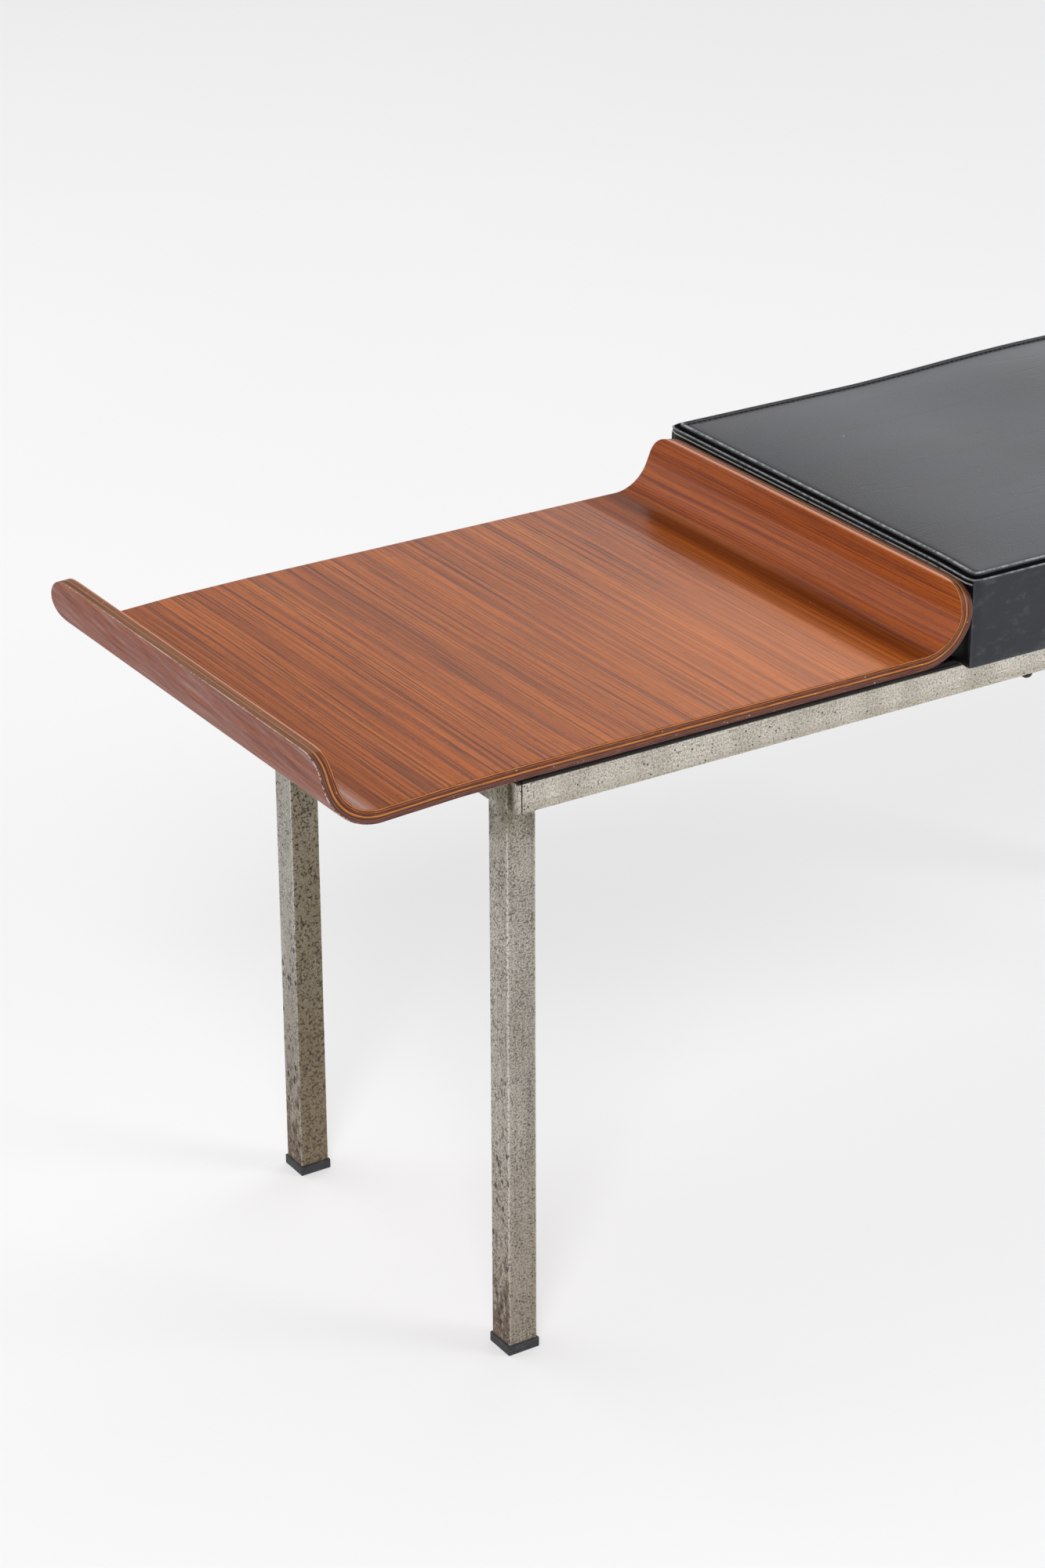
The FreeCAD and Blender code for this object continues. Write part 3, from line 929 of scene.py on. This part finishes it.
def settle(pad):
    """Points of a cloth pad, in millimetres, swelled by pressure from inside."""
    cloth = pad.modifiers.new("cloth", "CLOTH")
    cloth.settings.quality = 5
    cloth.settings.mass = 0.3
    for kind, stiffness in (("tension", 25), ("compression", 25), ("shear", 10), ("bending", 2)):
        setattr(cloth.settings, kind + "_stiffness", stiffness)
    cloth.settings.use_pressure = True
    cloth.settings.uniform_pressure_force = 4
    cloth.settings.vertex_group_mass = "held"
    cloth.settings.effector_weights.gravity = 0
    cloth.collision_settings.use_collision = False
    first, last = 1, 20
    cloth.point_cache.frame_start = first
    cloth.point_cache.frame_end = last
    for step in range(first, last + 1):
        SCENE.frame_set(step)
    settled = pad.evaluated_get(bpy.context.evaluated_depsgraph_get())
    points = np.array([v.co for v in settled.data.vertices]) / MM
    SCENE.frame_set(first)
    return points


def free_points(rim, rows, top):
    """Points that the foam can move, inside the top panel and on the sides."""
    nx, ny = SeatRim.CELLS
    around = len(rim.points)
    free = {top + i * (ny + 1) + j for i in range(1, nx) for j in range(1, ny)}
    for r in range(1, rows - 1):
        for k in range(around):
            (i, j), heading, _ = rim.points[k]
            straight = abs(sin(2 * heading)) < 1e-6
            if straight and (1 < i < nx - 1 or 1 < j < ny - 1):
                free.add(r * around + k)
    return free


def swell(rim):
    """How far foam moves top and sides of a simulated cover, held at its seams and round the board."""
    around = len(rim.points)
    board_edge = SEAT_BOTTOM + 3
    levels = (board_edge,) + SIDE_LEVELS + (SEAT_TOP - 1.5,)
    verts = []
    for level in levels:
        verts += [(*rim.place(k, SIDE_INSET), level) for k in range(around)]
    top = len(verts)
    verts += rim.grid(SEAT_TOP)
    bottom = len(verts)
    verts += rim.grid(board_edge)
    mesh = bpy.data.meshes.new("swell")
    mesh.from_pydata(metres(verts), [], close_shell(rim, len(levels), top, bottom))
    pad = add_object("swell", mesh)
    held = pad.vertex_groups.new(name="held")
    free = free_points(rim, len(levels), top)
    held.add([n for n in range(len(verts)) if n not in free], 1, "REPLACE")
    moved = settle(pad) - np.array(verts)
    bpy.data.objects.remove(pad)
    bpy.data.meshes.remove(mesh)
    side_moves = moved[around:around * (len(levels) - 1)]
    return moved[top:bottom, 2], side_moves.reshape(len(SIDE_LEVELS), around, 3)


def pushed_out(move, heading):
    """How far the foam pushes a point of the sides out; the left end stays nearly flat."""
    pushed = move[0] * cos(heading) + move[1] * sin(heading)
    limit = END_SWELL if cos(heading) < -0.5 else SIDE_SWELL
    return limit * tanh(max(pushed, 0) / limit)


def cushion_rows(rim, side_moves):
    """Points of the section all the way round, with swelled sides and corner seams."""
    last_side = FIRST_SIDE + len(SIDE_LEVELS) - 1
    verts = []
    for r, (inset, level) in enumerate(PROFILE):
        # 0 at the beaded edge, 1 near the bottom, where corners are squarer and nothing bows
        low = min(max((SEAT_TOP - 4 - level) / 50, 0), 1)
        for k, (_, heading, seam) in enumerate(rim.points):
            x, y = rim.place(k, inset, 0.3 + 0.5 * low)
            out = 0
            if FIRST_SIDE <= r <= last_side:
                out = pushed_out(side_moves[r - FIRST_SIDE, k], heading)
            if FIRST_SIDE - 2 <= r <= last_side + 2:
                out += CORNER_SEAM * seam
            bowed = rim.bow(x) * (1 - low)
            out += BOW_OUT * bowed
            px, py = x + out * cos(heading), y + out * sin(heading)
            verts.append((px, py, level + BOW_RISE * bowed))
    return verts


def cushion_top(rim, lift):
    """Points of the crowned top panel, with slow ripples."""
    rises = CROWN * np.tanh(np.maximum(lift, 0) / CROWN)
    verts = []
    for (x, y, level), rise in zip(rim.grid(SEAT_TOP + 0.4), rises):
        ripple = 0.16 * sin(x / 31 + 1.3 * sin(y / 57)) + 0.12 * sin(y / 23 + x / 71)
        verts.append((x, y, level + BOW_RISE * rim.bow(x) + rise + ripple * min(rise / CROWN, 1)))
    return verts


def cushion_bottom(rim):
    """Points of the underside, a little hollow inside its edge."""
    verts = []
    for x, y, level in rim.grid(SEAT_BOTTOM + 1.4):
        from_edge = min(x - rim.skew(rim.xs[0], y), rim.xs[-1] - x, y - rim.ys[0], rim.ys[-1] - y)
        verts.append((x, y, SEAT_BOTTOM + 0.1 if from_edge < 1 else level))
    return verts


def build_cushion(material):
    """Boxed seat pad: crowned top, raised stitched seam, flat border, beaded edge."""
    rim = SeatRim(*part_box("seat_cover"))
    lift, side_moves = swell(rim)
    verts = cushion_rows(rim, side_moves)
    row_of = [r for r in range(len(PROFILE)) for _ in rim.points]
    top = len(verts)
    verts += cushion_top(rim, lift)
    bottom = len(verts)
    verts += cushion_bottom(rim)
    row_of += [len(PROFILE)] * (bottom - top) + [-1] * (len(verts) - bottom)
    faces = close_shell(rim, len(PROFILE), top, bottom)
    replaced = ["seat_cover", "seat_welt", "seat_foam"]
    cushion = add_piece("seat_cushion", verts, faces, material, replaced)
    rows = cushion.data.uv_layers.new(name="rows")
    for loop in cushion.data.loops:
        rows.data[loop.index].uv = (row_of[loop.vertex_index], 0)
    smooth = cushion.modifiers.new("smooth", "SUBSURF")
    smooth.levels = 1
    smooth.render_levels = 1
    return rim


def capsules(places, half, radius, sides=6):
    """Points and faces of small flat bars at (x, y, z, heading) that dip at their ends."""
    ends = ((-1, 0.35, -0.5), (-0.8, 0.85, -0.15))
    shape = ends + ((0, 1, 0),) + tuple((-along, width, dip) for along, width, dip in ends[::-1])
    verts, faces = [], []
    for x, y, z, heading in places:
        faces += tube_faces(len(shape), sides, len(verts))
        c, s = cos(heading), sin(heading)
        for along, width, dip in shape:
            for k in range(sides):
                turn = 2 * pi * k / sides
                side, up = radius * width * cos(turn), radius * width * sin(turn)
                px = x + along * half * c - side * s
                py = y + along * half * s + side * c
                verts.append((px, py, z + up + dip * radius))
    return verts, faces


def flange_loop(rim, inset, level, ragged, chance):
    """Points about 8 mm apart round a rectangle inside the rim, moved about by chance."""
    nx, ny = (round((b - a) / 8) for a, b in zip(rim.low, rim.high))
    (x0, y0), (x1, y1) = rim.low + inset, rim.high - inset
    corners = [(x0, y0), (x1, y0), (x1, y1), (x0, y1), (x0, y0)]
    loop = []
    for (ax, ay), (bx, by), count in zip(corners, corners[1:], (nx, ny, nx, ny)):
        for k in range(count):
            x = ax + (bx - ax) * k / count + ragged * chance.uniform(-1, 1)
            y = ay + (by - ay) * k / count + ragged * chance.uniform(-1, 1)
            loop.append((x, y, level))
    return loop


def build_flange(rim, material, chance):
    """The cover's turned-in flange under the board, with its ragged cut edge."""
    outer_inset, fold_inset, cut_inset = 9.6, 26, 44
    upper, under = SEAT_BOTTOM + 1.1, SEAT_BOTTOM - 0.02
    cut = flange_loop(rim, cut_inset, SEAT_BOTTOM + 0.05, 0.7, chance)
    loops = [
        flange_loop(rim, outer_inset, upper, 0, chance),
        flange_loop(rim, outer_inset, under, 0, chance),
        flange_loop(rim, fold_inset, under, 0, chance),
        cut,
        [(x, y, upper) for x, y, _ in cut],
    ]
    verts = [v for loop in loops for v in loop]
    rows = [ring(r * len(cut), len(cut)) for r in range(len(loops))]
    faces = flipped(skin(rows + rows[:1]))
    add_piece("seat_flange", verts, faces, material, smooth=False)


def build_staples(rim, metal, chance):
    """Staples that hold the flange, each a little askew."""
    inset, spacing = 37, 46
    places = []
    for x, y, heading in rim.walk(0, spacing):
        inward = heading + pi / 2
        tilt = chance.uniform(-0.25, 0.25)
        px, py = x + inset * cos(inward), y + inset * sin(inward)
        places.append((px, py, SEAT_BOTTOM - 0.25, heading + tilt))
    verts, faces = capsules(places, half=5, radius=0.4)
    add_piece("seat_staples", verts, faces, metal)


def build_stitches(rim, material):
    """Thread along the inner side of the raised seam."""
    inset, spacing, level = 8.6, 4.4, 463.75
    places = []
    for x, y, heading in rim.walk(inset, spacing):
        bowed = rim.bow(x)
        places.append((x, y + copysign(BOW_OUT * bowed, y), level + BOW_RISE * bowed, heading))
    verts, faces = capsules(places, half=1.6, radius=0.42)
    add_piece("seat_stitches", verts, faces, material)


def build_screws(name, node, columns, reach, material):
    """Domed, cross-slotted screws, driven upwards, that replace a node."""
    low, high = node_box(node)
    head_height = 4
    head, tip = low[2] + head_height - BAR_DROP, high[2]
    dome = ((3.9, 0), (4, 0.5), (3.6, 1.7), (2.9, 2.6), (2.2, 3.1), (1.5, 3.4), (0.8, 3.5), (0.25, 3.5))
    outline = [(0.2, tip), (1.9, tip - 3), (2, head)]
    outline += [(radius, head - depth) for radius, depth in dome]
    turns = 32
    slot_half, slot_reach, slot_depth = 0.45, 2.6, 1.3
    verts, faces = [], []
    for x, y in [(x, y) for x in columns for y in (-reach, reach)]:
        faces += flipped(tube_faces(len(outline), turns, len(verts)))
        for radius, level in outline:
            for k in range(turns):
                angle = 2 * pi * k / turns
                u, v = radius * cos(angle), radius * sin(angle)
                slotted = level < head - 2 and radius < slot_reach and min(abs(u), abs(v)) < slot_half
                verts.append((x + u, y + v, level + (slot_depth if slotted else 0)))
    add_piece(name, verts, faces, material, [node])


def build_shade_strips(material):
    """Near-black strips under the tray that carry on the seat's strips and stand in for the shade there."""
    chance = random.Random(5)
    inset, spacing, edge = 18, 6, 0.6
    for side in ("front", "back"):
        (right, y0, z0), (_, y1, z1) = node_box("seat_strip_" + side)
        left = inset - LEG_OUTER
        steps = round((right - left) / spacing)
        verts = []
        for k in range(steps + 1):
            x = left + (right - left) * k / steps
            top = z1 - 0.2 + chance.uniform(-0.15, 0.15)
            verts += [(x, y0, z0), (x, y1, z0), (x, y1, top - edge)]
            verts += [(x, y1 - edge, top), (x, y0 + edge, top), (x, y0, top - edge)]
        faces = tube_faces(steps + 1, 6)
        add_piece("rail_felt_" + side, verts, faces, material, smooth=False)


def paint(names, material):
    """Gives CAD nodes their material."""
    for name in names:
        mesh = NODES[name].data
        mesh.materials.clear()
        mesh.materials.append(material)


def build_sky():
    """White surroundings, dimmer on the camera's side and strongest far to the right."""
    world = bpy.data.worlds.new("studio")
    SCENE.world = world
    world.use_nodes = True
    sky = Nodes(world.node_tree)
    x, y, _ = sky.split(sky.add("TexCoord").outputs["Generated"])
    dim, full = (0.42, 0.42, 0.42, 1), (1, 1, 1, 1)
    colour = sky.ramp(sky.math("MULTIPLY_ADD", y, 0.5, 0.5), [(0.3, dim), (0.75, full)], "EASE")
    background = sky.tree.nodes["Background"]
    sky.put(background.inputs["Color"], colour)
    sky.put(background.inputs["Strength"], sky.blend(sky.fade(x, 0.36, 0.75), 0.74, 1.9))


def floor_paint():
    """Pale paint, a little brighter to the camera and in reflections."""
    g = Graph("floor")
    pale, paler = (0.87, 0.87, 0.87, 1), (0.89, 0.89, 0.89, 1)
    g.colour = g.ramp(g.noise(1.5), [(0.3, pale), (0.7, paler)])
    material = g.finish(roughness=0.9)
    seen = g.add("LightPath").outputs
    share = g.times(g.most(seen["Is Camera Ray"], seen["Is Glossy Ray"]), 0.42)
    glow = g.add("Emission", {"Color": (0.92, 0.92, 0.925, 1)})
    both = g.add("MixShader", {0: share, 1: g.surface.outputs[0], 2: glow.outputs[0]})
    g.put(g.tree.nodes["Material Output"].inputs["Surface"], both.outputs[0])
    return material


def build_floor():
    """A wide, level floor."""
    reach = 14
    corners = [(-reach, -reach, 0), (reach, -reach, 0), (reach, reach, 0), (-reach, reach, 0)]
    mesh = bpy.data.meshes.new("floor")
    mesh.from_pydata(corners, [], [(0, 1, 2, 3)])
    mesh.materials.append(floor_paint())
    floor = add_object("floor", mesh)


def place_lamps():
    """Soft round lamps."""
    for name, (place, aim, size, watts) in LAMPS.items():
        lamp = bpy.data.lights.new(name, "AREA")
        lamp.energy = watts
        lamp.shape = "DISK"
        lamp.size = size
        holder = add_object(name, lamp)
        holder.location = place
        holder.rotation_euler = (Vector(aim) - Vector(place)).to_track_quat("-Z", "Y").to_euler()


def place_camera():
    """The photograph's camera."""
    yaw, pitch, roll = (radians(a) for a in CAMERA_ANGLES)
    turned = Matrix.Rotation(-yaw, 4, "Z") @ Matrix.Rotation(pi / 2 - pitch, 4, "X")
    lens = bpy.data.cameras.new("camera")
    lens.sensor_width = SENSOR_MM
    lens.sensor_height = SENSOR_MM
    lens.lens = FOCAL_PIXELS / PHOTO_HEIGHT * SENSOR_MM
    lens.clip_start = 0.05
    camera = add_object("camera", lens)
    camera.matrix_world = Matrix.Translation(CAMERA_PLACE) @ turned @ Matrix.Rotation(-roll, 4, "Z")
    bpy.context.scene.camera = camera


# Frame
rail_steel = bar_steel("rail_steel", tone=1.26, pitted=0.45, speckled=0.6)
# The crossbars' copy of the bar plating is darker: painted shade under the tray
crossbar_steel = bar_steel("crossbar_steel", tone=0.5, pitted=0.6, speckled=0.6)
front_steel = leg_steel("front_leg_steel", tone=0.93, pitted=0.75, speckled=0.75, rusty=0.28)
# The back legs carry tarnish and painted shade on their front faces
back_steel = leg_steel("back_leg_steel", tone=0.82, pitted=0.6, speckled=0.5, rusty=0.26, tarnish_and_shade=True)
black_rubber = rubber()
build_legs("front", front_steel)
build_legs("back", back_steel)
paint(nodes_named("rail_cap_"), rail_steel)
for cap in nodes_named("rail_cap_"):
    ease(NODES[cap], width=0.35, segments=2)
build_bars(("rail_front", "rail_back"), ALONG_X, rail_steel)
build_bars(nodes_named("crossbar_"), ALONG_Y, crossbar_steel)
build_feet(black_rubber)
# Near-black strips under the tray stand in for the shade there
build_shade_strips(dust_cloth("black_felt", rgb(5, 5, 5), rgb(14, 13, 12)))

# Seat
paint(nodes_named("seat_strip_"), black_rubber)
paint(["seat_board"], plain_wood("board_plywood", rgb(196, 160, 112), rgb(150, 112, 72)))
paint(["seat_dust_cover"], dust_cloth("dust_cloth", rgb(20, 20, 21), rgb(52, 51, 50)))
screw_metal = dark_screws()
cover = leatherette()
seat_rim = build_cushion(cover)
build_stitches(seat_rim, thread())
flange_chance = random.Random(11)
build_flange(seat_rim, cover, flange_chance)
build_staples(seat_rim, screw_metal, flange_chance)
build_screws("seat_screw_set", "seat_screws", *SEAT_SCREWS, screw_metal)

# Tray
paint(nodes_named("tray_batten_"), plain_wood("plain_wood", rgb(168, 128, 88), rgb(112, 74, 46)))
build_screws("tray_screw_set", "tray_screws", *TRAY_SCREWS, screw_metal)
sheet_path = SheetPath()
inner_bend = sheet_path.level + FLOOR_INBOARD
build_tray(sheet_path, veneered_plywood(sheet_path.length * MM, inner_bend * MM))

# Studio
SCENE.view_settings.view_transform = "Standard"
build_sky()
build_floor()
place_lamps()
place_camera()
